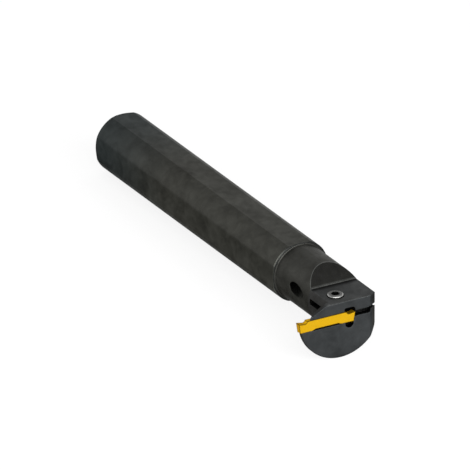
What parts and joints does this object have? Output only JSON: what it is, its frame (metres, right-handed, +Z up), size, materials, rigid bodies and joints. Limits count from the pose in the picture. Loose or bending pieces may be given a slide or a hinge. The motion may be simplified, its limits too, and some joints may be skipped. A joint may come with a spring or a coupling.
{
  "type": "internal grooving toolholder",
  "caption": "Round steel bar with flats, a slit clamping head on an offset thin blade, a double-ended grooving insert and a socket clamp screw.",
  "frame": {"origin": "middle of the rear face, on the shank's axis, where the coolant port opens", "axes": "+X along the bar toward the head, +Z up and square to the top flat, the insert points along -Y with its cutting edges at Z = 0"},
  "size_m": [0.1802, 0.0364, 0.0299],
  "materials": {
    "blackened_steel": "blackened, satin",
    "coated_carbide": "titanium nitride coated",
    "bright_steel": "bright, turned"
  },
  "bodies": {
    "holder": {"holder_body": "blackened_steel"},
    "insert": {"grooving_insert": "coated_carbide"},
    "screw": {"clamp_screw": "bright_steel"}
  },
  "joints": [
    {"name": "clamp_screw_turn", "type": "hinge", "parent": "holder", "child": "screw", "pos_m": [0.1734, -0.00465, 0.005], "axis": [0, 0, 1], "range_deg": [0, 450]},
    {"name": "insert_slide", "type": "slide", "parent": "holder", "child": "insert", "axis": [0, -1, 0], "range_m": [0, 0.027]}
  ]
}
